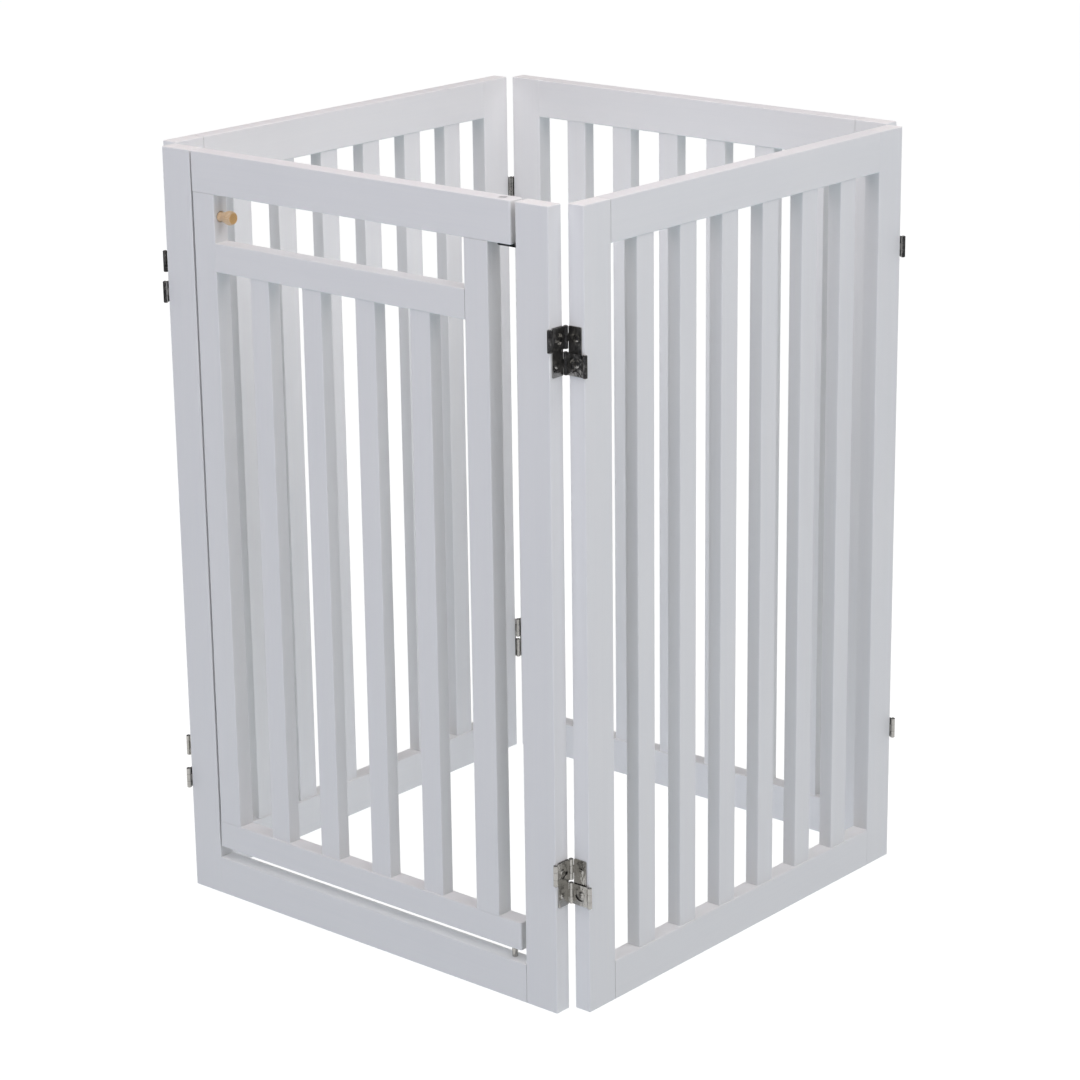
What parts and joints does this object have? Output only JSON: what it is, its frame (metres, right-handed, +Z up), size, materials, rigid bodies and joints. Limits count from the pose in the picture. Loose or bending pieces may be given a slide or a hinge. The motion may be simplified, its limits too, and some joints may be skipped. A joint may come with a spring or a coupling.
{
  "type": "pet gate",
  "caption": "Free-standing folding pet pen of slatted wooden panels hinged at every corner, with a latched door that swings outward.",
  "frame": {"origin": "the centre of the closed square pen, on the floor", "axes": "+Z up; -Y out through the front panel with the door; +X out through the right panel"},
  "size_m": [0.5704, 0.5704, 0.812],
  "materials": {
    "white_lacquer": "smooth white satin lacquer on solid wood",
    "turned_wood": "natural turned hardwood, clear satin varnish",
    "polished_steel": "nickel-plated steel, polished",
    "dark_steel": "blackened steel, semi-gloss"
  },
  "bodies": {
    "back_panel": {"back_bottom_rail": "white_lacquer", "back_hinge_leaves": "polished_steel", "back_hinge_links": "polished_steel", "back_hinge_screws": "polished_steel", "back_post_1": "white_lacquer", "back_post_2": "white_lacquer", "back_slat_1": "white_lacquer", "back_slat_2": "white_lacquer", "back_slat_3": "white_lacquer", "back_slat_4": "white_lacquer", "back_slat_5": "white_lacquer", "back_slat_6": "white_lacquer", "back_top_rail": "white_lacquer"},
    "front_panel": {"bottom_pivot_pin": "polished_steel", "front_bottom_rail": "white_lacquer", "front_hinge_leaves": "polished_steel", "front_hinge_links": "polished_steel", "front_hinge_screws": "polished_steel", "front_post_1": "white_lacquer", "front_post_2": "white_lacquer", "pivot_bracket": "dark_steel", "pivot_bracket_screws": "polished_steel", "top_pivot_pin": "polished_steel"},
    "door": {"door_bottom_rail": "white_lacquer", "door_latch_stile": "white_lacquer", "door_mid_rail": "white_lacquer", "door_pivot_stile": "white_lacquer", "door_slat_1": "white_lacquer", "door_slat_2": "white_lacquer", "door_slat_3": "white_lacquer", "door_slat_4": "white_lacquer", "door_top_rail": "white_lacquer"},
    "latch": {"latch_bolt": "polished_steel", "latch_knob": "turned_wood"},
    "left_panel": {"left_bottom_rail": "white_lacquer", "left_hinge_leaves": "polished_steel", "left_hinge_links": "polished_steel", "left_hinge_screws": "polished_steel", "left_post_1": "white_lacquer", "left_post_2": "white_lacquer", "left_slat_1": "white_lacquer", "left_slat_2": "white_lacquer", "left_slat_3": "white_lacquer", "left_slat_4": "white_lacquer", "left_slat_5": "white_lacquer", "left_slat_6": "white_lacquer", "left_top_rail": "white_lacquer"},
    "right_panel": {"right_bottom_rail": "white_lacquer", "right_hinge_leaves": "polished_steel", "right_hinge_links": "polished_steel", "right_hinge_screws": "polished_steel", "right_post_1": "white_lacquer", "right_post_2": "white_lacquer", "right_slat_1": "white_lacquer", "right_slat_2": "white_lacquer", "right_slat_3": "white_lacquer", "right_slat_4": "white_lacquer", "right_slat_5": "white_lacquer", "right_slat_6": "white_lacquer", "right_top_rail": "white_lacquer"}
  },
  "joints": [
    {"name": "fold", "type": "hinge", "parent": "front_panel", "child": "right_panel", "pos_m": [0.2596, -0.2596, 0.4], "axis": [0, 0, 1], "range_deg": [-84, 84]},
    {"name": "fold_left", "type": "hinge", "parent": "front_panel", "child": "left_panel", "pos_m": [-0.2596, -0.2596, 0.4], "axis": [0, 0, 1], "range_deg": [-84, 84]},
    {"name": "fold_back", "type": "hinge", "parent": "right_panel", "child": "back_panel", "pos_m": [0.2596, 0.2596, 0.4], "axis": [0, 0, 1], "range_deg": [-84, 84]},
    {"name": "door_swing", "type": "hinge", "parent": "front_panel", "child": "door", "pos_m": [0.195, -0.2712, 0.4], "axis": [0, 0, 1], "range_deg": [0, 115]},
    {"name": "latch_slide", "type": "slide", "parent": "door", "child": "latch", "axis": [-1, 0, 0], "range_m": [0, 0.0065]}
  ],
  "couplings": [
    {"joint": "fold_left", "follows": "fold", "ratio": 1},
    {"joint": "fold_back", "follows": "fold", "ratio": -1}
  ]
}
